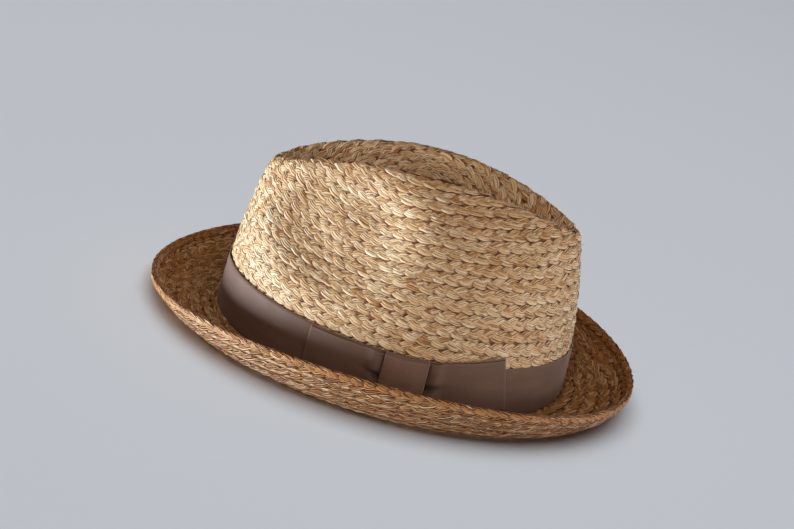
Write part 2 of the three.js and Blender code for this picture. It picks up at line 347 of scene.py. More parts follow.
class Chart:
    """A surface as a table of points and outward normals over angle and distance.

    Distance grows from the rim towards the middle of the crown. A point between the table's
    own is shared between its four neighbours.
    """

    def __init__(self, points: Array, reach: float) -> None:
        """Keeps the points, with shape (angles, rows, 3), that span a distance of reach."""
        self.reach = reach
        self.rows = points.shape[1]
        self.turns = points.shape[0]
        normals = grid_normals(points, closed=True)
        normals[:, -1] = unit(normals[:, -2].mean(axis=0))
        self.table = np.concatenate([points, normals], axis=-1)

    def at(self, angle: Array, distance: Array) -> tuple[Array, Array]:
        """Points and unit normals of the surface at an angle and a distance."""
        across = np.mod(angle / (2.0 * np.pi), 1.0) * self.turns
        up = np.clip(distance / self.reach, 0.0, 1.0) * (self.rows - 1)
        left = np.minimum(across.astype(int), self.turns - 1)
        below = np.minimum(up.astype(int), self.rows - 2)
        right = (left + 1) % self.turns
        share = (across - left)[..., None]
        share_up = (up - below)[..., None]
        low, high = (
            self.table[left, row] * (1 - share) + self.table[right, row] * share
            for row in (below, below + 1)
        )
        found = low * (1 - share_up) + high * share_up
        return found[..., :3], unit(found[..., 3:])


@dataclass
class HatForm:
    """The charts of the hat: the middle of the straw, the fold at the edge and the crown's skin."""

    crown: CrownForm = CrownForm()
    brim: BrimForm = BrimForm()
    rows: int = 660
    sink_under_band: float = 1.5
    sink_above_band: float = 0.6
    band_height: float = 25.5
    band_ease: float = 4.0
    brim_lift: float = 1.6
    corner: float = 2.4
    hem_radius: float = 1.7
    hem_side: float = 2.4
    hem_inset: float = 1.2
    hem_drop: float = 2.6
    hem_side_stations: int = 8
    hem_turn_stations: int = 18
    corner_stations: int = 14
    open_stations: int = 3

    def __post_init__(self) -> None:
        """Works out the charts."""
        self.angles = np.arange(TURN_STEPS) * 2.0 * np.pi / TURN_STEPS
        self.section, self.climbing = self.brim.section(self.angles, self.brim_lift)
        self.skin = self.crown.meridians(self.angles)
        self.straw = self.straw_chart()
        self.outer_skin = self.skin_chart()
        self.hem = self.hem_chart()

    def even_crown(self, lengths: Array) -> tuple[Array, float]:
        """Distances up the crown that are level at its base and all end at its middle.

        A meridian's own length s is the distance v plus (L - V)(v / V)², where L is the
        meridian's whole length and V the mean of them all, solved here for v.

        Args:
            lengths: The running length of each meridian.

        Returns:
            The distance at each point, and V.
        """
        whole = lengths[:, -1:]
        mean = float(whole.mean())
        bend = (whole - mean) / mean**2
        return 2.0 * lengths / (1.0 + np.sqrt(1.0 + 4.0 * bend * lengths)), mean

    def chart(self, points: Array, distance: Array, reach: float) -> Chart:
        """A chart of meridians read at even steps of distance, with all laid on one line."""
        offset = np.arange(len(points))[:, None] * (2.0 * reach)
        wanted = offset + np.linspace(0.0, reach, self.rows)[None, :]
        known = (offset + distance).ravel()
        read = [np.interp(wanted, known, points[..., i].ravel()) for i in range(3)]
        return Chart(np.stack(read, axis=-1), reach)

    def skin_chart(self) -> Chart:
        """The crown's outer skin alone, with distance from its base, for what lies on it."""
        distance, reach = self.even_crown(running_length(self.skin))
        return self.chart(self.skin, distance, reach)

    def straw_chart(self) -> Chart:
        """The middle of the straw, from the rim over the brim and up to the crown's middle.

        The crown's skin is sunk along its normals, deeper behind the ribbon, and an arc
        rounds the corner between the crown and the brim.
        """
        normals = grid_normals(self.skin, closed=True)
        normals[:, -1] = normals[:, -2].mean(axis=0)
        climbed = running_length(self.skin)[..., None]
        ease = smooth((climbed - self.band_height) / self.band_ease)
        sink = self.sink_under_band * (1.0 - ease) + self.sink_above_band * ease
        crown = self.skin - normals * sink
        start = int(np.searchsorted(climbed[0, :, 0], self.corner))
        crown = crown[:, start:]
        inner = self.section[:, : -self.open_stations]
        corner = np.concatenate([crown[:, :1, :2], self.section[:, -1:, 2:]], axis=-1)
        turn = np.linspace(0.0, 1.0, self.corner_stations)[None, 1:-1, None]
        bend = arc(inner[:, -1:], corner, crown[:, :1], turn)
        brim = np.concatenate([inner, bend], axis=1)
        brim_length = running_length(np.concatenate([brim, crown[:, :1]], axis=1))
        self.brim_reach = float(brim_length[:, -1].mean())
        brim_distance = brim_length / brim_length[:, -1:] * self.brim_reach
        crown_distance, crown_reach = self.even_crown(running_length(crown))
        points = np.concatenate([brim, crown], axis=1)
        distance = np.concatenate([brim_distance[:, :-1], self.brim_reach + crown_distance], axis=1)
        return self.chart(points, distance, self.brim_reach + crown_reach)

    def hem_chart(self) -> Chart:
        """The fold of the last row: up the outer face, half a circle over the edge, and down."""
        edge = self.section[:, :1]
        along = self.climbing[:, None, :]
        around = unit(np.roll(edge, -1, axis=0) - np.roll(edge, 1, axis=0))
        inward = unit(np.cross(along, around))
        side = np.linspace(self.hem_side, 0.0, self.hem_side_stations)[None, :, None]
        turn = np.linspace(0.0, math.pi, self.hem_turn_stations)[None, 1:-1, None]
        radius = self.hem_radius
        centre = edge - along * self.hem_drop + inward * self.hem_inset
        outer = centre - along * side - inward * radius
        over = centre - inward * radius * np.cos(turn) + along * radius * np.sin(turn)
        inner = centre - along * side[:, ::-1] + inward * radius
        points = np.concatenate([outer, over, inner], axis=1)
        reach = 2.0 * self.hem_side + math.pi * radius
        distance = running_length(points)
        return self.chart(points, distance / distance[:, -1:] * reach, reach)


# Meshes


def placed(name: str, data: bpy.types.ID) -> Object:
    """A new object in the scene, at the origin."""
    thing = bpy.data.objects.new(name, data)
    bpy.context.scene.collection.objects.link(thing)
    return thing


@dataclass
class Mesh:
    """A mesh in the making: points in millimetres, four-cornered faces and end caps."""

    points: Array
    quads: Array
    caps: list[list[int]] = field(default_factory=list)
    maps: dict[str, Array] = field(default_factory=dict)
    values: dict[str, Array] = field(default_factory=dict)

    @staticmethod
    def joined(parts: list[Mesh]) -> Mesh:
        """Several meshes as one, with the faces of each counted on from the last."""
        starts = np.cumsum([0] + [len(part.points) for part in parts[:-1]])
        return Mesh(
            np.concatenate([part.points for part in parts]),
            np.concatenate([part.quads + start for part, start in zip(parts, starts)]),
            [[n + int(start) for n in cap] for part, start in zip(parts, starts) for cap in part.caps],
            {name: np.concatenate([part.maps[name] for part in parts]) for name in parts[0].maps},
            {name: np.concatenate([part.values[name] for part in parts]) for name in parts[0].values},
        )

    def piece(self, name: str, material: Material) -> Object:
        """Makes the Blender object.

        Args:
            name: The object's name.
            material: Its finish.

        Returns:
            The object, at the origin, with its place in its mesh.
        """
        mesh = bpy.data.meshes.new(name)
        mesh.from_pydata((self.points * MM).tolist(), [], self.quads.tolist() + self.caps)
        capped = sum(len(cap) for cap in self.caps)
        for title, corners in self.maps.items():
            layer = mesh.uv_layers.new(name=title)
            spots = np.concatenate([corners.reshape(-1, 2), np.zeros((capped, 2))])
            layer.uv.foreach_set("vector", spots.astype(np.float32).ravel())
        for title, numbers in self.values.items():
            attribute = mesh.attributes.new(title, "FLOAT", "POINT")
            attribute.data.foreach_set("value", numbers.astype(np.float32).ravel())
        mesh.materials.append(material)
        mesh.update()
        mesh.shade_smooth()
        thing = placed(name, mesh)
        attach(thing, "root")
        log.info("%s: %d triangles", name, 2 * len(self.quads) + capped)
        return thing


def cells(first: int, second: int, closed: bool = False) -> tuple[Array, Array, Array]:
    """The cells of a grid of points whose second axis meets itself.

    Args:
        first: How many points the first axis has.
        second: How many points the second axis has.
        closed: Whether the first axis meets itself too.

    Returns:
        The point number, the row and the column of each cell's four corners. Rows and columns
        count on past the last one where their axis meets itself.
    """
    row, column = np.divmod(np.arange((first if closed else first - 1) * second), second)
    rows = row[:, None] + np.array([0, 1, 1, 0])
    columns = column[:, None] + np.array([0, 0, 1, 1])
    return rows % first * second + columns % second, rows, columns


# The plait


@dataclass
class Course:
    """The line that a plait follows over a chart, with its running length."""

    chart: Chart
    angle: Array
    distance: Array

    def __post_init__(self) -> None:
        """Measures the line."""
        points, _ = self.chart.at(self.angle, self.distance)
        self.length = running_length(points)

    @property
    def whole(self) -> float:
        """The length of the whole course."""
        return float(self.length[-1])

    def at(self, length: Array, aside: Array) -> tuple[Array, Array]:
        """Points and normals at a length along the course and a distance aside from it."""
        angle = np.interp(length, self.length, self.angle)
        distance = np.interp(length, self.length, self.distance)
        return self.chart.at(angle, distance + aside)


def spiral(chart: Chart, first: float, last: float, pitch: float) -> Course:
    """A spiral from distance first down to distance last, with one more level turn there.

    Args:
        chart: The surface that it winds over.
        first: The distance at its start.
        last: The distance at its end.
        pitch: How far it comes down in one turn.

    Returns:
        The spiral's line.
    """
    turns = (first - last) / pitch
    angle = np.linspace(0.0, 2.0 * np.pi * (turns + 1.0), int((turns + 1.0) * TURN_STEPS))
    distance = np.maximum(first - pitch * angle / (2.0 * np.pi), last)
    return Course(chart, angle, distance)


def ring(chart: Chart, distance: float, start: float) -> Course:
    """One level turn at a distance, from a start angle."""
    angle = np.linspace(start, start + 2.0 * np.pi, 2 * TURN_STEPS + 1)
    return Course(chart, angle, np.full_like(angle, distance))


@dataclass(frozen=True)
class Span:
    """Part of a course, from one length along it to another."""

    course: Course
    first: float
    last: float

    def lengths(self, step: float) -> Array:
        """Lengths along the course, at even steps of about the size asked for."""
        return np.linspace(self.first, self.last, int((self.last - self.first) / step) + 1)


@dataclass(frozen=True)
class Plait:
    """A flat plait of three strands, each of them a few flat fibres of raffia side by side.

    A strand swings from side to side as a sine, with a flattened turn at the lower edge of the
    row. It rises and dips twice as often, over one neighbour and under the other.
    """

    swing: float = 2.05
    flat_turn: float = 0.12
    weave: float = 0.36
    period: float = 23.4
    skew: float = -0.25
    tilt: float = 0.45
    wall_tilt: float = 0.6
    wall_from: float = 50.0
    wall_ease: float = 15.0
    row_half: float = 4.2
    fibres: int = 4
    fibre_gap: float = 1.12
    leaf_swell: float = 0.1
    leaf_start: float = 0.75 * np.pi
    edge_drop: float = 0.05
    shingle: float = 0.16
    fan: float = 0.05
    half_width: float = 0.8
    half_thickness: float = 0.22
    step: float = 2.9
    tone: float = 0.5
    leaf_tone: float = 0.2
    seam_place: float = 4.3
    seam_half_width: float = 1.8
    seam_half_thickness: float = 0.18
    seam_depth: float = 0.36
    seam_step: float = 4.0
    seam_start: float = 40.0
    seam_tone: float = 0.7
    # Heights that the finish reads on the strip's face and back, where low heights are painted with
    # shade
    seam_face: float = 0.1
    seam_back: float = 0.4
    girth: float = 4.4
    bake_margin: float = 0.002
    bake_gap: float = 0.04
    seed: int = 7

    row_wander: Wander = Wander(0.3, 35.0)
    seam_wander: Wander = Wander(0.3, 20.0)
    seam_tone_wander: Wander = Wander(0.3, 12.0)

    # How the phase, the swing and the rise of a strand wander
    strand_wander: tuple[Wander, ...] = (Wander(0.22, 11.0), Wander(0.13, 9.0), Wander(0.12, 8.0))

    # How the offset, width, thickness, roll, level, tone and fine tone of a fibre wander
    fibre_wander: tuple[Wander, ...] = (
        Wander(0.22, 11.0),
        Wander(0.28, 14.0),
        Wander(0.2, 6.0),
        Wander(0.16, 10.0),
        Wander(0.11, 9.0),
        Wander(0.4, 26.0),
        Wander(0.12, 5.0),
    )

    # A fibre's section, from one edge over the top to the other and back: across and up
    across: tuple[float, ...] = (-1.0, -0.62, 0.05, 0.7, 1.0, 0.0)
    up: tuple[float, ...] = (-0.1, 0.76, 1.0, 0.72, -0.15, -0.95)

    # How far down the side of a fibre each point of its section lies, where the finish paints shade
    sides: tuple[float, ...] = (1.0, 0.0, 0.0, 0.0, 1.0, 0.0)

    def strand(self, span: Span, number: int, period: float) -> list[Mesh]:
        """The fibres of one strand of a stretch of plait.

        Args:
            span: The stretch.
            number: Which of the three strands it is.
            period: The length in which a strand swings over and back.

        Returns:
            Each fibre as a closed tube.
        """
        length = span.lengths(self.step)
        seed = self.seed + 1000 * number
        shift, wider, higher = (w.at(length, seed + i) for i, w in enumerate(self.strand_wander))
        phase = 2.0 * np.pi * (length / period + number / 3.0) + shift
        swing = self.swing * (1.0 + wider)
        aside = swing * (np.sin(phase) - self.flat_turn * np.cos(2.0 * phase))
        slope = swing * (np.cos(phase) + 2.0 * self.flat_turn * np.sin(2.0 * phase))
        slope = slope * 2.0 * np.pi / period
        heading = unit(np.stack([1.0 + self.skew * slope, slope], axis=-1))
        rise = self.weave * np.sin(2.0 * phase) + higher
        swell = 1.0 + self.leaf_swell * np.sin(2.0 * phase)
        row = self.row_wander.at(length, self.seed)
        distance = np.interp(length, span.course.length, span.course.distance)
        on_wall = smooth((distance - self.wall_from) / self.wall_ease)
        tilt = self.tilt + (self.wall_tilt - self.tilt) * on_wall
        leaf = np.floor((phase - self.leaf_start) / np.pi).astype(int)
        leaf -= leaf.min()
        tones = np.random.default_rng(seed + 3).uniform(-1.0, 1.0, leaf.max() + 1)[leaf]
        across, up = np.array(self.across), np.array(self.up)
        # How high each point rides in the weave, which the finish reads to paint shade where it dips
        # under
        height = 0.5 + 0.5 * np.where(up < -0.5, -1.0, 1.0) * rise[:, None] / self.weave
        made = []
        for fibre in range(self.fibres):
            own = seed + 10 * (fibre + 1)
            move, widen, thicken, turn, raised, dye, fleck = (
                w.at(length, own + i) for i, w in enumerate(self.fibre_wander)
            )
            rank = fibre - (self.fibres - 1) / 2.0
            offset = self.fibre_gap * rank * swell + move
            half = self.half_width * swell * (1.0 + widen)
            thick = self.half_thickness * (1.0 + thicken)
            roll = self.shingle + turn - self.fan * rank
            level = rise + raised - self.edge_drop * rank**2
            tone = self.tone + self.leaf_tone * tones + dye + fleck
            wide = half[:, None] * across
            reach = offset[:, None] + wide
            along = (length + self.skew * aside)[:, None] - heading[:, 1:] * reach
            sideways = aside[:, None] + heading[:, :1] * reach + row[:, None]
            lift = level[:, None] + thick[:, None] * up + roll[:, None] * wide
            lift = lift - tilt[:, None] * sideways / self.row_half
            place = (along, sideways, lift)
            values = {"tone": tone[:, None], "height": height, "side": self.sides}
            made.append(self.tube(span.course, length, place, values, 3 * number + fibre))
        return made

    def seam(self, span: Span) -> Mesh:
        """The fibre that the rows are sewn through, a flat strip low under each joint."""
        length = Span(span.course, max(span.first, self.seam_start), span.last).lengths(self.seam_step)
        across, up = np.array(self.across), np.array(self.up)
        middle = self.seam_place + self.seam_wander.at(length, self.seed)
        sideways = middle[:, None] + self.seam_half_width * across
        tone = self.seam_tone + self.seam_tone_wander.at(length, self.seed + 5)
        # Low heights, which the finish paints with shade
        height = np.where(up < -0.5, self.seam_back, self.seam_face)
        place = (length[:, None], sideways, self.seam_half_thickness * up - self.seam_depth)
        values = {"tone": tone[:, None], "height": height, "side": 0.0}
        return self.tube(span.course, length, place, values, 3 * self.fibres)

    def tube(
        self,
        course: Course,
        length: Array,
        place: tuple[Array, Array, Array],
        values: dict[str, object],
        number: int,
    ) -> Mesh:
        """A closed tube of rings, whose bake map is still the row and column of each corner.

        Args:
            course: The line that the plait follows.
            length: Each ring's length along the course, u in the strand map.
            place: How far each point lies along the course, aside from it and off the surface.
            values: What the finish reads at each point, by name.
            number: The tube's number, which sets its v in the strand map apart.

        Returns:
            The tube.
        """
        along, aside, lift = np.broadcast_arrays(*place)
        rings, count = along.shape
        points, normals = course.at(along, aside)
        quads, rows, columns = cells(rings, count)
        end = list(range(count))
        return Mesh(
            (points + normals * lift[..., None]).reshape(-1, 3),
            quads,
            [end, [(rings - 1) * count + n for n in end[::-1]]],
            {
                "Strand": np.stack([length[rows], columns / count + 3.0 * number], axis=-1),
                "OFBake": np.stack([rows, columns], axis=-1),
            },
            {name: np.broadcast_to(value, along.shape) for name, value in values.items()},
        )

    def stretch(self, span: Span, period: float) -> Mesh:
        """A stretch of plait, with a map that has a place for every face.

        Args:
            span: The stretch.
            period: The length in which a strand swings over and back.

        Returns:
            The strands as one mesh.
        """
        fibres = [fibre for number in range(3) for fibre in self.strand(span, number, period)]
        if self.seam_step > 0.0:
            fibres.append(self.seam(span))
        rings = [len(fibre.points) // len(self.sides) - 1 for fibre in fibres]
        for fibre, start in zip(fibres, np.cumsum([0] + rings[:-1])):
            fibre.maps["OFBake"][..., 0] += start
        whole = Mesh.joined(fibres)
        whole.maps["OFBake"] = self.bake_map(*np.moveaxis(whole.maps["OFBake"], -1, 0), sum(rings))
        return whole

    def bake_map(self, rows: Array, columns: Array, rings: int) -> Array:
        """Lays the fibres as strips under each other in a square, with margins between.

        Args:
            rows: The row of each corner, counted on from fibre to fibre.
            columns: The column of each corner.
            rings: How many rings of faces there are.

        Returns:
            The map.
        """
        girth = self.girth * self.half_width
        strips = max(1, math.ceil(math.sqrt(rings * self.step / girth)))
        in_strip = math.ceil(rings / strips)
        strip = rows[:, :1] // in_strip
        u = (rows - strip * in_strip) / in_strip * (1.0 - 2.0 * self.bake_margin) + self.bake_margin
        share = (1.0 - 2.0 * self.bake_gap) * columns / len(self.sides)
        v = (strip + self.bake_gap + share) / strips
        return np.stack([u, v], axis=-1)


# Shader nodes


class Value:
    """A number inside a material, on which Python's operators add Math nodes."""

    def __init__(self, graph: Graph, socket: NodeSocket) -> None:
        """Wraps one output socket."""
        self.graph = graph
        self.socket = socket

    def maths(self, operation: str, *operands: Value | float) -> Value:
        """Adds one Math node for the operation."""
        inputs = dict(enumerate(operands))
        return self.graph.value("ShaderNodeMath", {"operation": operation}, inputs)

    def __add__(self, other: Value | float) -> Value:
        """Sum."""
        return self.maths("ADD", self, other)

    def __radd__(self, other: float) -> Value:
        """Sum with a number in front."""
        return self.maths("ADD", other, self)

    def __sub__(self, other: Value | float) -> Value:
        """Difference."""
        return self.maths("SUBTRACT", self, other)

    def __rsub__(self, other: float) -> Value:
        """Difference from a number in front."""
        return self.maths("SUBTRACT", other, self)

    def __mul__(self, other: Value | float) -> Value:
        """Product."""
        return self.maths("MULTIPLY", self, other)

    def __rmul__(self, other: float) -> Value:
        """Product with a number in front."""
        return self.maths("MULTIPLY", other, self)

    def sine(self) -> Value:
        """Sine, of radians."""
        return self.maths("SINE", self)

    def ramp(self, low: float, high: float) -> Value:
        """0 below low, 1 above high and a smooth rise between."""
        settings = {"interpolation_type": "SMOOTHSTEP"}
        return self.graph.value("ShaderNodeMapRange", settings, {0: self, 1: low, 2: high})


class Graph:
    """The nodes of one material, with its Principled shader."""

    def __init__(self, name: str, constants: dict[str, object]) -> None:
        """Starts a material.

        Args:
            name: The material's name.
            constants: Values for the shader's own sockets.
        """
        self.material = bpy.data.materials.new(name)
        self.material.use_nodes = True
        self.tree = self.material.node_tree
        self.tree.nodes.clear()
        self.shader = self.node("ShaderNodeBsdfPrincipled", {}, constants)
        output = self.node("ShaderNodeOutputMaterial", {}, {})
        self.tree.links.new(self.shader.outputs["BSDF"], output.inputs["Surface"])

    def node(self, kind: str, settings: dict[str, object], inputs: dict) -> bpy.types.Node:
        """Adds a node.

        Args:
            kind: The node's type.
            settings: Its own settings, which are set first.
            inputs: Values or links for its sockets, by name or number.

        Returns:
            The node.
        """
        node = self.tree.nodes.new(kind)
        for name, value in settings.items():
            setattr(node, name, value)
        for key, value in inputs.items():
            source = value.socket if isinstance(value, Value) else value
            if isinstance(source, NodeSocket):
                self.tree.links.new(source, node.inputs[key])
            else:
                node.inputs[key].default_value = source
        return node

    def value(self, kind: str, settings: dict[str, object], inputs: dict, output: object = 0) -> Value:
        """Adds a node, of which one output is a number."""
        return Value(self, self.node(kind, settings, inputs).outputs[output])

    def attribute(self, name: str) -> Value:
        """A number that is stored on the mesh."""
        return self.value("ShaderNodeAttribute", {"attribute_name": name}, {}, "Fac")

    def map_axes(self, name: str) -> tuple[Value, Value]:
        """The u and v of a map."""
        found = self.node("ShaderNodeUVMap", {"uv_map": name}, {})
        split = self.node("ShaderNodeSeparateXYZ", {}, {0: found.outputs[0]})
        return Value(self, split.outputs[0]), Value(self, split.outputs[1])

    def noise(self, axes: tuple[Value, Value], scale: Pair, detail: float) -> Value:
        """Noise between about 0.3 and 0.7 over two axes, each with its own scale."""
        scaled = {i: axis * by for i, (axis, by) in enumerate(zip(axes, scale))}
        place = self.node("ShaderNodeCombineXYZ", {}, scaled).outputs[0]
        inputs = {"Vector": place, "Scale": 1.0, "Detail": detail}
        return self.value("ShaderNodeTexNoise", {"noise_dimensions": "2D"}, inputs)

    def blend(self, share: object, first: object, second: object, how: str = "MIX") -> NodeSocket:
        """Mixes two colours."""
        settings = {"data_type": "RGBA", "blend_type": how}
        return self.node("ShaderNodeMix", settings, {0: share, 6: first, 7: second}).outputs[2]

    def times(self, first: object, second: object) -> NodeSocket:
        """The product of two colours."""
        return self.blend(1.0, first, second, "MULTIPLY")

    def grey(self, value: Value) -> NodeSocket:
        """A number as a colour."""
        return self.node("ShaderNodeCombineColor", {}, {0: value, 1: value, 2: value}).outputs[0]

    def feed(self, name: str, source: Value | NodeSocket) -> None:
        """Links a number or a colour to one of the shader's sockets."""
        socket = source.socket if isinstance(source, Value) else source
        self.tree.links.new(socket, self.shader.inputs[name])

    def bump(self, height: Value, distance: float) -> None:
        """Raises the surface by the height, in metres at height 1."""
        inputs = {"Height": height, "Distance": distance, "Strength": 1.0}
        self.feed("Normal", self.node("ShaderNodeBump", {}, inputs).outputs[0])


@dataclass(frozen=True)
class StrawFinish:
    """Raffia: pale, tan and rusty strands with fine fibres along them, a satin gloss and painted shade.
    """

    name: str = "raffia"
    pale: Colour = (0.95, 0.78, 0.54, 1.0)
    tan: Colour = (0.79, 0.54, 0.3, 1.0)
    rusty: Colour = (0.48, 0.225, 0.07, 1.0)
    # The colour of painted shade where a strand dips under and along the sides of each fibre
    painted_shade: Colour = (0.27, 0.125, 0.055, 1.0)
    seam: Colour = (0.36, 0.23, 0.13, 1.0)
    fibre_depth: float = 0.0003

    # Scales of noise along and round a strand, and how much each noise changes the tone
    fibre_scale: Pair = (0.12, 2.4)
    hair_scale: Pair = (0.3, 7.0)
    blotch_scale: Pair = (0.07, 1.0)
    fibre_tone: float = 1.2
    hair_tone: float = 0.8
    blotch_tone: float = 0.9

    # The ranges over which one colour passes into the next; high and side set where shade is painted
    tan_range: Pair = (0.05, 0.66)
    rusty_range: Pair = (0.72, 1.2)
    high_range: Pair = (0.02, 0.55)
    line_range: Pair = (0.38, 0.49)
    side_range: Pair = (0.08, 0.62)
    line_share: float = 0.9
    rough: float = 0.64
    rough_fall: float = 0.25

    def material(self) -> Material:
        """Makes the material, which reads the strand map and the values of a strand."""
        graph = Graph(self.name, {"Specular IOR Level": 0.5})
        axes = graph.map_axes("Strand")
        fibres = graph.noise(axes, self.fibre_scale, 2.0)
        hairs = graph.noise(axes, self.hair_scale, 2.0)
        blotch = graph.noise(axes, self.blotch_scale, 1.0)
        tone = graph.attribute("tone") + (blotch - 0.5) * self.blotch_tone
        tone = tone + (fibres - 0.5) * self.fibre_tone + (hairs - 0.5) * self.hair_tone
        colour = graph.blend(tone.ramp(*self.tan_range), self.pale, self.tan)
        colour = graph.blend(tone.ramp(*self.rusty_range), colour, self.rusty)
        # Painted shade where a strand dips under and on fibre sides; grain lines take the seam colour
        low = 1.0 - graph.attribute("height").ramp(*self.high_range)
        lines = 1.0 - (fibres * 0.6 + hairs * 0.4).ramp(*self.line_range)
        sides = graph.attribute("side").ramp(*self.side_range)
        shares = (low, lines * self.line_share, sides)
        for share, dark in zip(shares, (self.painted_shade, self.seam, self.painted_shade)):
            colour = graph.times(colour, graph.blend(share, WHITE, dark))
        graph.feed("Base Color", colour)
        graph.feed("Roughness", self.rough - fibres * self.rough_fall)
        graph.bump(fibres + hairs * 0.6, self.fibre_depth)
        return graph.material


@dataclass(frozen=True)
class RibbonFinish:
    """Ribbed ribbon: fine ribs across it, a plain edge and a soft sheen."""

    name: str = "ribbed_ribbon"
    face: Colour = (0.182, 0.107, 0.081, 1.0)
    valley: Colour = (0.155, 0.089, 0.067, 1.0)
    edge: Colour = (0.27, 0.175, 0.14, 1.0)
    rib: float = 1.25
    rib_depth: float = 0.00006
    wander_scale: Pair = (0.05, 0.1)
    thread_scale: Pair = (1.2, 5.0)
    rib_wander: float = 1.5
    edge_width: float = 0.7
    edge_ease: float = 0.35
    edge_share: float = 0.6
    bright: float = 0.78
    wander_bright: float = 0.3
    thread_bright: float = 0.14
    rough: float = 0.7
    rough_fall: float = 0.12

    def material(self) -> Material:
        """Makes the material, which reads a map in millimetres along and across the ribbon."""
        sheen = {"Sheen Weight": 0.25, "Sheen Roughness": 0.35}
        graph = Graph(self.name, {"Specular IOR Level": 0.4} | sheen)
        along, across = graph.map_axes("Ribbon")
        wander = graph.noise((along, across), self.wander_scale, 2.0)
        threads = graph.noise((along, across), self.thread_scale, 1.0)
        turn = along * (2.0 * math.pi / self.rib) + (wander - 0.5) * self.rib_wander
        ribs = turn.sine() * 0.5 + 0.5
        from_middle = across.maths("ABSOLUTE", across)
        edge = (from_middle - (RIBBON_WIDTH / 2.0 - self.edge_width)).ramp(0.0, self.edge_ease)
        colour = graph.blend(ribs, self.valley, self.face)
        colour = graph.blend(edge * self.edge_share, colour, self.edge)
        bright = self.bright + wander * self.wander_bright + threads * self.thread_bright
        # Painted shade and highlight from the mesh's shade values: bow creases, beside the knot, loop
        # folds, lighter knot
        graph.feed("Base Color", graph.times(colour, graph.grey(bright * graph.attribute("shade"))))
        graph.feed("Roughness", self.rough - threads * self.rough_fall)
        graph.bump(ribs * (1.0 - edge) + threads * 0.3, self.rib_depth)
        return graph.material


@dataclass(frozen=True)
class FloorFinish:
    """A plain pale matt floor."""

    name: str = "pale_floor"
    colour: Colour = (0.62, 0.615, 0.645, 1.0)

    def material(self) -> Material:
        """Makes the material, with a faint change of tone over the floor."""
        graph = Graph(self.name, {"Specular IOR Level": 0.1, "Roughness": 0.9})
        place = graph.node("ShaderNodeTexCoord", {}, {}).outputs["Object"]
        cloud = graph.value("ShaderNodeTexNoise", {}, {"Vector": place, "Scale": 0.8, "Detail": 1.0})
        tint = tuple(0.97 * part for part in self.colour[:3]) + (1.0,)
        graph.feed("Base Color", graph.blend(cloud, self.colour, tint))
        return graph.material


# The straw


@dataclass(frozen=True)
class LooseFibres:
    """Short ends of fibre that have come out of the plait here and there.

    A fibre starts just under the straw and runs on along the row. It leaves the straw and
    bends aside as the square of its length, and it tapers to its tip.
    """

    count: int = 110
    steps: int = 8
    radius: float = 0.16
    taper: float = 0.6
    depth: float = 0.3
    in_and_out: Pair = (0.3, 0.7)
    lengths: Pair = (4.0, 13.0)
    slopes: Pair = (0.04, 0.32)
    tones: Pair = (0.1, 0.7)
    veer: float = 0.5
    lowest: float = 0.6
    free: float = 20.0
    tile_rows: int = 8
    tile_gap: float = 0.05
    seed: int = 41

    def mesh(self, chart: Chart, first: float) -> Mesh:
        """Lays the fibres.

        Args:
            chart: The straw that they come out of.
            first: The least distance at which one starts.

        Returns:
            All the fibres as closed tubes.
        """
        random = np.random.default_rng(self.seed)
        count, size = self.count, 4 * self.steps
        angle = random.uniform(0.0, 2.0 * np.pi, count)
        distance = random.uniform(first, chart.reach - self.free, count)
        start, normal = chart.at(angle, distance)
        ahead, _ = chart.at(angle + 0.01, distance)
        along = unit(ahead - start) * random.choice([-1.0, 1.0], count)[:, None]
        aside = np.cross(normal, along)
        out = random.choice([-1.0, 1.0], count, p=self.in_and_out)
        whole = random.uniform(*self.lengths, count)
        leave = random.uniform(*self.slopes, count) * whole
        veer = random.uniform(-self.veer, self.veer, count) * whole
        share = np.linspace(0.0, 1.0, self.steps)[None, :, None]
        base = start + normal * (out * self.depth)[:, None]
        path = base[:, None] + along[:, None] * whole[:, None, None] * share
        path = path + normal[:, None] * (out * leave)[:, None, None] * share**2
        path = path + aside[:, None] * veer[:, None, None] * share**2
        path[..., 2] = np.maximum(path[..., 2], self.lowest)
        turn = np.arange(4)[:, None] * np.pi / 2.0
        around = aside[:, None, None] * np.cos(turn) + normal[:, None, None] * np.sin(turn)
        points = path[:, :, None] + around * (self.radius * (1.0 - self.taper * share[..., None]))
        quads, rows, columns = cells(self.steps, 4)
        ends = ((0, 1, 2, 3), (size - 1, size - 2, size - 3, size - 4))
        spot = np.stack([rows, columns / 4.0], axis=-1)
        strand = spot + random.uniform(0.0, 50.0, (count, 1, 1, 2))
        tile = np.stack(np.divmod(np.arange(count), self.tile_rows), axis=-1)[:, None, None, :]
        inside = (1.0 - 2.0 * self.tile_gap) * spot / np.array([self.steps - 1.0, 1.0])
        tiles = np.array([math.ceil(count / self.tile_rows), self.tile_rows])
        bake = (tile + self.tile_gap + inside) / tiles
        tone = np.repeat(random.uniform(*self.tones, count), size)
        return Mesh(
            points.reshape(-1, 3),
            (quads + np.arange(count)[:, None, None] * size).reshape(-1, 4),
            [[n * size + k for k in end] for n in range(count) for end in ends],
            {"Strand": strand.reshape(-1, 4, 2), "OFBake": bake.reshape(-1, 4, 2)},
            {"tone": tone, "height": np.ones(len(tone)), "side": np.zeros(len(tone))},
        )


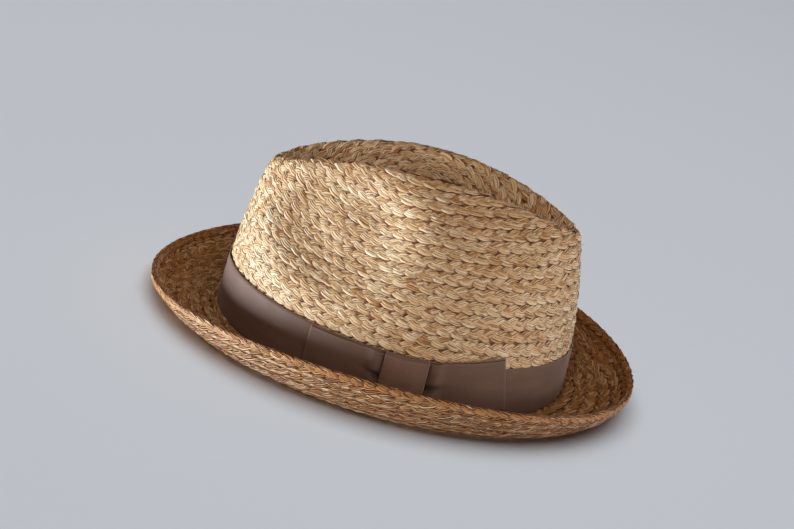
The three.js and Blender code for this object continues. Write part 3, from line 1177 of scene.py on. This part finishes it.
@dataclass
class Straw:
    """The whole plait, spiral and folded edge, with its loose fibres."""

    form: HatForm
    plait: Plait = Plait()
    # The brim takes a browner tone than the crown: painted shade, as the brim lies in shade
    brim_plait: Plait = Plait(tone=1.0)
    hem_plait: Plait = Plait(
        flat_turn=0.0,
        skew=0.0,
        tilt=0.0,
        wall_tilt=0.0,
        fibre_gap=1.15,
        # A browner tone still on the hem: painted shade
        tone=1.35,
        seam_step=0.0,
        seed=23,
    )
    centre_coil: float = 4.0
    last_row: float = 3.2
    hem_period: float = 20.5
    joint_angle: float = math.radians(200.0)
    loose: LooseFibres = LooseFibres()

    def build(self, material: Material) -> list[Object]:
        """Makes the plait in stretches.

        Args:
            material: The straw's finish.

        Returns:
            The crown's, the brim's and the hem's pieces.
        """
        chart = self.form.straw
        course = spiral(chart, chart.reach - self.centre_coil, self.last_row, PLAIT_PITCH)
        at_head = float(np.interp(-self.form.brim_reach, -course.distance, course.length))
        log.info("plait: %.1f m, %.1f m of it on the crown", course.whole * MM, at_head * MM)
        made = []
        for plait, part, first, last, names in (
            (self.plait, "crown", 0.0, at_head, ("top", "middle", "base")),
            (self.brim_plait, "brim", at_head, course.whole, ("inner", "outer")),
        ):
            stops = np.linspace(first, last, len(names) + 1)
            for name, start, stop in zip(names, stops[:-1], stops[1:]):
                mesh = plait.stretch(Span(course, start, stop), plait.period)
                made.append(mesh.piece(f"{part}_plait_{name}", material))
        edge = ring(self.form.hem, self.form.hem.reach / 2.0, self.joint_angle)
        period = edge.whole / round(edge.whole / self.hem_period)
        hem = self.hem_plait.stretch(Span(edge, 0.0, edge.whole), period)
        made.append(hem.piece("rim_plait", material))
        made.append(self.loose.mesh(chart, self.last_row).piece("loose_fibres", material))
        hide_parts("crown")
        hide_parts("brim")
        return made


# The ribbon


@dataclass
class Wall:
    """The crown's outer skin as a place to lay ribbon on."""

    form: HatForm

    def __post_init__(self) -> None:
        """Measures the head line, both ways from the middle of the +X side."""
        self.angle = np.linspace(-np.pi, np.pi, 4 * TURN_STEPS + 1)
        length = running_length(HEAD.at(self.angle))
        self.along = length - np.interp(0.0, self.angle, length)

    def at(self, along: Array, height: Array, lift: Array) -> Array:
        """A point off the wall: round along the head line, up from the base and out."""
        angle = np.interp(along, self.along, self.angle)
        points, normals = self.form.outer_skin.at(angle, height)
        return points + normals * lift[..., None]


def strip_map(middle: Array, side: Array) -> Array:
    """Millimetres along and across a strip, whose side runs from -1 to 1 over its width."""
    run = running_length(middle[:, middle.shape[1] // 2])[:, None]
    return np.stack(np.broadcast_arrays(run, side * RIBBON_WIDTH / 2.0), axis=-1)


def ribbon_mesh(
    middle: Array, maps: Array, closed: bool = False, shade: Array | float = 1.0
) -> Mesh:
    """A ribbon of even thickness: a face and a back, half of it off each side of a grid.

    Args:
        middle: The ribbon's middle, with shape (along, across, 3).
        maps: Millimetres along and across the ribbon at each point.
        closed: Whether its ends meet.
        shade: How light the cloth is painted at each point: painted shade below 1, painted highlight
            above, where 1 is its own colour.

    Returns:
        The closed ribbon.
    """
    half = grid_normals(middle, closed) * RIBBON_THICKNESS / 2.0
    # The painted shade and highlight of each point
    tones = np.broadcast_to(shade, middle.shape[:2])
    points = np.concatenate([middle + half, (middle - half)[:, ::-1]], axis=1)
    spots = np.concatenate([maps, maps[:, ::-1]], axis=1)
    first, second = points.shape[:2]
    quads, rows, columns = cells(first, second, closed)
    corners = spots[rows % first, columns % second]
    caps = []
    if closed:
        corners[rows == first, 0] = 2.0 * maps[-1, 0, 0] - maps[-2, 0, 0]
    else:
        for start, step in ((0, 1), ((first - 1) * second, -1)):
            for n in range(second // 2 - 1):
                cap = [start + k for k in (n, n + 1, second - 2 - n, second - 1 - n)]
                caps.append(cap[::step])
    shades = np.concatenate([tones, tones[:, ::-1]], axis=1)
    return Mesh(points.reshape(-1, 3), quads, caps, {"Ribbon": corners}, {"shade": shades})


@dataclass
class Hatband:
    """One ribbon round the foot of the crown, drawn snug over the rows of plait."""

    wall: Wall
    lift: float = 0.55
    ripple: float = 0.16
    ripple_inside: float = 0.3
    row_ripple: float = 0.07
    top_lift: float = 0.15
    top_from: float = 20.0
    steps: int = 640
    rows: int = 18

    # The waves along the band: how many go round the hat, how high and where they start
    waves: tuple[tuple[int, float, float], ...] = ((23, 1.0, 1.0), (41, 0.6, 0.0), (9, 0.5, 2.0))

    def build(self, material: Material) -> Object:
        """Makes the band.

        Its lift is an even one plus faint waves along it, which stand out most at its edges,
        and a ripple over each row of the plait below.

        Args:
            material: The ribbon's finish.

        Returns:
            The band.
        """
        whole = self.wall.along[-1] - self.wall.along[0]
        along = self.wall.along[0] + np.arange(self.steps)[:, None] * whole / self.steps
        across = np.linspace(-0.5, 0.5, self.rows)[None, :] * RIBBON_WIDTH
        height = across + RIBBON_WIDTH / 2.0
        turn = 2.0 * np.pi * along / whole
        wave = sum(high * np.sin(count * turn + start) for count, high, start in self.waves)
        edge = self.ripple_inside + (1.0 - self.ripple_inside) * np.abs(across / RIBBON_WIDTH * 2.0) ** 3
        lift = self.lift + self.ripple * edge * wave
        lift = lift + self.row_ripple * np.sin(height * 2.0 * np.pi / PLAIT_PITCH)
        lift = lift + self.top_lift * smooth((height - self.top_from) / (RIBBON_WIDTH - self.top_from))
        middle = self.wall.at(along + 0.0 * across, height + 0.0 * along, lift)
        maps = np.stack(np.broadcast_arrays(along, across), axis=-1)
        band = ribbon_mesh(middle, maps, closed=True).piece("hatband_ribbon", material)
        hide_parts("hatband")
        return band


class Side(Enum):
    """Which way a loop of the bow points from the knot."""

    FRONT = -1
    REAR = 1


@dataclass
class BowLoop:
    """One loop of the bow: out along the band, folded back on itself, and under the knot."""

    wall: Wall
    side: Side
    start: float
    crease_level: float
    crease_rise: float
    rise: float = 0.0
    end_slant: float = 0.0
    length: float = 45.3
    flat_width: float = 27.4
    half_height: float = 13.9
    pinched_half: float = 13.0
    pinched_level: float = 14.2
    pinch_reach: float = 9.0
    level: float = 14.4
    tuck: float = 9.0
    inner_lift: float = 1.7
    outer_lift: float = 2.9
    lowest: float = -0.3
    double_edge: float = 1.1
    double_from: float = 0.55
    puff: float = 2.5
    puff_even: float = 0.45
    puff_hump: float = 0.75
    puff_reach: float = 1.5
    hump_place: float = 4.6
    hump_width: float = 3.6
    fall_from: float = 0.5
    fall_length: float = 0.46
    pleat_height: float = 0.2
    pleat_turn: float = 0.85
    pleat_start: float = 0.6
    pleat_reach: float = 8.0
    crease_depth: float = 4.6
    crease_width: float = 1.9
    crease_reach: float = 6.0
    crease_power: float = 1.5
    # Painted shade in the crease and beside the knot, and a painted highlight along the fold
    crease_shade: float = 0.92
    knot_shade: float = 0.5
    knot_reach: float = 1.8
    fold_shine: float = 0.35
    fold_inset: float = 0.6
    fold_width: float = 0.5
    columns: int = 34
    fold_reach: float = 1.0
    fold_steps: int = 9
    inner_steps: int = 44
    outer_steps: int = 90

    def crease(self, out: Array, up: Array) -> Array:
        """A narrow crease that runs out from the knot on a slant and fades with distance."""
        slant = self.crease_level + self.crease_rise * out
        along = fade(out, self.crease_reach, self.crease_power)
        return bell(up - slant, 0.0, self.crease_width) * along

    def stand_off(self, out: Array, up: Array) -> Array:
        """How far the outer layer stands off.

        It rises away from the knot to a bell-shaped hump and comes down again before the
        fold. The crease cuts into it down to the layer below, and shallow pleats fan out
        beside it.
        """
        rising = 1.0 - fade(out, self.puff_reach)
        falling = 1.0 - smooth((out - self.fall_from * self.length) / (self.fall_length * self.length))
        hump = bell(out, self.hump_place, self.hump_width)
        pleats = self.pleat_height * np.sin(up * self.pleat_turn + self.pleat_start)
        pleats = pleats * fade(out, self.pleat_reach)
        swell = self.puff * (self.puff_even * falling + self.puff_hump * hump)
        swell = swell - self.crease_depth * self.crease(out, up)
        return np.where(out > 0.0, np.maximum(rising * (swell + pleats), self.lowest), 0.0)

    def shade(self, out: Array, up: Array) -> Array:
        """Painted shade in the crease and close to the knot, and a painted highlight along the fold."""
        near = 1.0 - self.knot_shade * fade(out, self.knot_reach)
        fold = 1.0 + self.fold_shine * bell(out, self.length - self.fold_inset, self.fold_width)
        return (1.0 - self.crease_shade * self.crease(out, up)) * near * fold

    def build(self, material: Material) -> Object:
        """Makes the loop.

        Args:
            material: The ribbon's finish.

        Returns:
            The loop.
        """
        radius = (self.outer_lift - self.inner_lift) / 2.0
        turn = np.linspace(0.0, math.pi, self.fold_steps)[1:-1]
        end = self.length - self.fold_reach
        there = np.linspace(-self.tuck, end, self.inner_steps)
        back = np.linspace(end, -self.tuck, self.outer_steps)
        out = np.concatenate([there, end + radius * np.sin(turn), back])[:, None]
        layer = np.concatenate([0.0 * there, (1.0 - np.cos(turn)) / 2.0, 0.0 * back + 1.0])[:, None]
        side = np.linspace(-1.0, 1.0, self.columns)[None, :]
        spread = smooth(out / self.pinch_reach)
        half = self.pinched_half + (self.half_height - self.pinched_half) * spread
        reach = np.maximum(out / self.length, 0.0)
        level = self.pinched_level + (self.level - self.pinched_level) * spread + self.rise * reach
        level = level + self.double_edge * (self.double_from - layer) * reach
        up = side * half
        lift = self.inner_lift + 2.0 * radius * layer
        lift = lift + np.where(layer >= 1.0, self.stand_off(out, up), 0.0)
        along = self.start + self.side.value * (out - self.end_slant * up * reach)
        middle = self.wall.at(along, level + up, lift)
        maps = strip_map(middle, side)
        whole = float(maps[-1, 0, 0])
        shade = np.where(layer > 0.0, self.shade(out, up), 1.0)
        if self.side is Side.REAR:
            middle, maps, shade = middle[:, ::-1], maps[:, ::-1], shade[:, ::-1]
        name = f"bow_{self.side.name.lower()}_loop"
        loop = ribbon_mesh(middle, maps, shade=shade).piece(f"{name}_ribbon", material)
        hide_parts(name)
        flat = (self.flat_width * MM, whole * MM)
        return loop


@dataclass
class BowKnot:
    """The strip of ribbon that wraps the middle of the bow from below the band to its top."""

    wall: Wall
    start: float = 9.1
    end: float = 33.7
    bottom: float = 0.8
    top: float = 28.5
    lift: float = 4.4
    bulge: float = 0.9
    bulge_power: float = 0.6
    corner: float = 1.6
    entry: float = 0.6
    top_dip: float = 0.7
    dip_from: float = 0.6
    pleat_height: float = 0.16
    pleat_turn: float = 5.0
    pleat_start: float = 1.2
    # How much lighter the knot's cloth is painted than the rest of the ribbon: painted light
    tone: float = 1.34
    columns: int = 40
    steps: int = 46
    corner_steps: int = 9
    entry_steps: int = 5

    def build(self, material: Material) -> Object:
        """Makes the strip.

        It comes out from the crown below the bow, climbs over it with a slight bulge and
        turns in again at the top.

        Args:
            material: The ribbon's finish.

        Returns:
            The strip.
        """
        turn = np.linspace(0.0, math.pi / 2.0, self.corner_steps)
        low, high = self.bottom + self.corner, self.top - self.corner
        inner = self.lift - self.corner
        entry = np.linspace(self.entry, inner, self.entry_steps)[:-1]
        climb = np.linspace(low, high, self.steps + 2)[1:-1]
        height = [
            0.0 * entry + self.bottom,
            low - self.corner * np.cos(turn),
            climb,
            high + self.corner * np.sin(turn),
            0.0 * entry + self.top,
        ]
        lift = [
            entry,
            inner + self.corner * np.sin(turn),
            0.0 * climb + self.lift,
            inner + self.corner * np.cos(turn),
            entry[::-1],
        ]
        height, lift = np.concatenate(height)[:, None], np.concatenate(lift)[:, None]
        side = np.linspace(-1.0, 1.0, self.columns)[None, :]
        share = (height - self.bottom) / (self.top - self.bottom)
        bulge = self.bulge * np.sin(np.pi * share) ** self.bulge_power * (1.0 - side**4)
        pleat = self.pleat_height * np.sin(side * self.pleat_turn + self.pleat_start)
        pleat = pleat * np.sin(np.pi * share)
        along = (self.start + self.end) / 2.0 + side * (self.end - self.start) / 2.0
        dip = self.top_dip * (1.0 - side**2) * smooth((share - self.dip_from) / (1.0 - self.dip_from))
        middle = self.wall.at(along + 0.0 * height, height - dip, lift + bulge + pleat)
        maps = strip_map(middle, side)
        # The knot's whole cloth is painted lighter by its tone
        mesh = ribbon_mesh(middle[:, ::-1], maps[:, ::-1], shade=self.tone)
        knot = mesh.piece("bow_knot_ribbon", material)
        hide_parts("bow_knot")
        flat = ((self.end - self.start) * MM, float(maps[-1, 0, 0]) * MM)
        return knot


# The studio


@dataclass(frozen=True)
class Lamp:
    """A soft rectangular lamp that looks at the hat."""

    name: str
    place: Triple
    size: Pair
    watts: float
    colour: Triple = (1.0, 1.0, 1.0)
    target: Triple = (0.0, 0.0, 0.05)

    def build(self) -> Object:
        """Makes the lamp."""
        light = bpy.data.lights.new(self.name, "AREA")
        light.shape = "RECTANGLE"
        light.size, light.size_y = self.size
        light.energy = self.watts
        light.color = self.colour
        lamp = placed(self.name, light)
        lamp.location = self.place
        ahead = Vector(self.target) - Vector(self.place)
        lamp.rotation_euler = ahead.to_track_quat("-Z", "Y").to_euler()
        return lamp


@dataclass
class Studio:
    """The floor, the lamps and the camera."""

    camera_target: Triple = (0.0, 1.1, 60.0)
    camera_azimuth: float = math.radians(96.1)
    camera_elevation: float = math.radians(21.1)
    camera_roll: float = math.radians(14.8)
    camera_distance: float = 1300.0
    focal_pixels: float = 2238.6
    target_right: float = 16.4
    target_up: float = 14.6
    floor_size: float = 9.0
    floor_gap: float = 0.0002

    def __post_init__(self) -> None:
        """Starts the collection of the hat's pieces, the only things that its lamps light."""
        self.pieces = bpy.data.collections.new("hat_pieces")

    def floor(self) -> Object:
        """Makes the floor, just under the hat."""
        half = self.floor_size / 2.0
        mesh = bpy.data.meshes.new("floor")
        corners = ((-half, -half), (half, -half), (half, half), (-half, half))
        mesh.from_pydata([(x, y, -self.floor_gap) for x, y in corners], [], [(0, 1, 2, 3)])
        mesh.materials.append(FloorFinish().material())
        floor = placed("floor", mesh)
        floor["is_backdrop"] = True
        return floor

    def lamps(self, floor: Object) -> None:
        """Places the lamps.

        A low key lamp stands in front, a weak one behind, a low one on the far side and two
        warm ones on the camera's side. They light the hat alone. A wide one overhead lights
        the floor alone.

        Args:
            floor: The floor.
        """
        for lamp in (
            Lamp("key", (0.64, -1.89, -0.29), (0.9, 0.6), 66.0, (0.88, 0.96, 1.0)),
            Lamp("back", (-0.2, 2.0, 0.4), (1.0, 0.5), 9.0),
            Lamp("far", (-1.9, 0.5, 0.08), (1.2, 0.3), 8.0),
            Lamp("side", (1.4, 1.4, 0.3), (1.0, 0.5), 6.4, (1.0, 0.92, 0.8)),
            Lamp("fill", (1.7, 0.3, 1.4), (1.4, 0.8), 10.4, (1.0, 0.82, 0.68)),
        ):
            linking = lamp.build().light_linking
            linking.blocker_collection = linking.receiver_collection = self.pieces
        wash = Lamp("floor_wash", (0.0, 0.0, 3.0), (4.0, 4.0), 116.0, (0.86, 0.95, 1.0), (0.0, 0.0, 0.0))
        lit = bpy.data.collections.new("floor_alone")
        lit.objects.link(floor)
        wash.build().light_linking.receiver_collection = lit
        world = bpy.data.worlds.new("studio")
        world.use_nodes = True
        background = world.node_tree.nodes["Background"]
        background.inputs[0].default_value = (1.0, 0.76, 0.6, 1.0)
        background.inputs[1].default_value = 0.12
        bpy.context.scene.world = world

    def camera(self) -> Object:
        """Makes the camera.

        It looks from the +X side and is rolled about its own axis, which is turned a little,
        so that the target stands right of and above the middle of the picture.

        Returns:
            The camera.
        """
        a, e, r = self.camera_azimuth, self.camera_elevation, self.camera_roll
        back = Vector((math.sin(a) * math.cos(e), -math.cos(a) * math.cos(e), math.sin(e)))
        level = Vector((math.cos(a), math.sin(a), 0.0))
        above = back.cross(level)
        right = level * math.cos(r) + above * math.sin(r)
        up = above * math.cos(r) - level * math.sin(r)
        aside = right * (self.target_right / self.focal_pixels)
        aim = (back + aside + up * (self.target_up / self.focal_pixels)).normalized()
        right = (right - aim * right.dot(aim)).normalized()
        up = aim.cross(right)
        lens = bpy.data.cameras.new("camera")
        lens.sensor_width = 36.0
        lens.lens = self.focal_pixels / PICTURE_WIDTH * lens.sensor_width
        lens.clip_end = 50.0
        camera = placed("camera", lens)
        turned = Matrix((right, up, aim)).transposed().to_4x4()
        place = (Vector(self.camera_target) + back * self.camera_distance) * MM
        camera.matrix_world = Matrix.Translation(place) @ turned
        bpy.context.scene.camera = camera
        return camera

    def build(self) -> None:
        """Makes the whole studio."""
        self.camera()
        self.lamps(self.floor())
        bpy.context.scene.view_settings.view_transform = "Standard"


# All of it


def numbers(box: object) -> list[list[float]]:
    """A box's corners as plain numbers."""
    return [[float(part) for part in corner] for corner in box]


def main() -> None:
    """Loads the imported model, dresses it and sets the studio up."""
    logging.basicConfig(level=logging.INFO, format="%(name)s: %(message)s")
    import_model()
    packed = numbers(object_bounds())
    studio = Studio()
    studio.build()
    raffia = StrawFinish().material()
    ribbon = RibbonFinish().material()
    form = HatForm()
    wall = Wall(form)
    pieces = Straw(form).build(raffia)
    pieces.append(Hatband(wall).build(ribbon))
    knot = BowKnot(wall)
    front = BowLoop(wall, Side.FRONT, knot.start, crease_level=0.0, crease_rise=0.22)
    rear = BowLoop(
        wall,
        Side.REAR,
        knot.end,
        crease_level=-1.0,
        crease_rise=0.12,
        rise=6.4,
        end_slant=0.27,
        length=46.9,
    )
    pieces += [front.build(ribbon), rear.build(ribbon), knot.build(ribbon)]
    for piece in pieces:
        studio.pieces.objects.link(piece)
    {"cad": packed, "visual": numbers(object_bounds())}


if __name__ == "__main__":
    main()
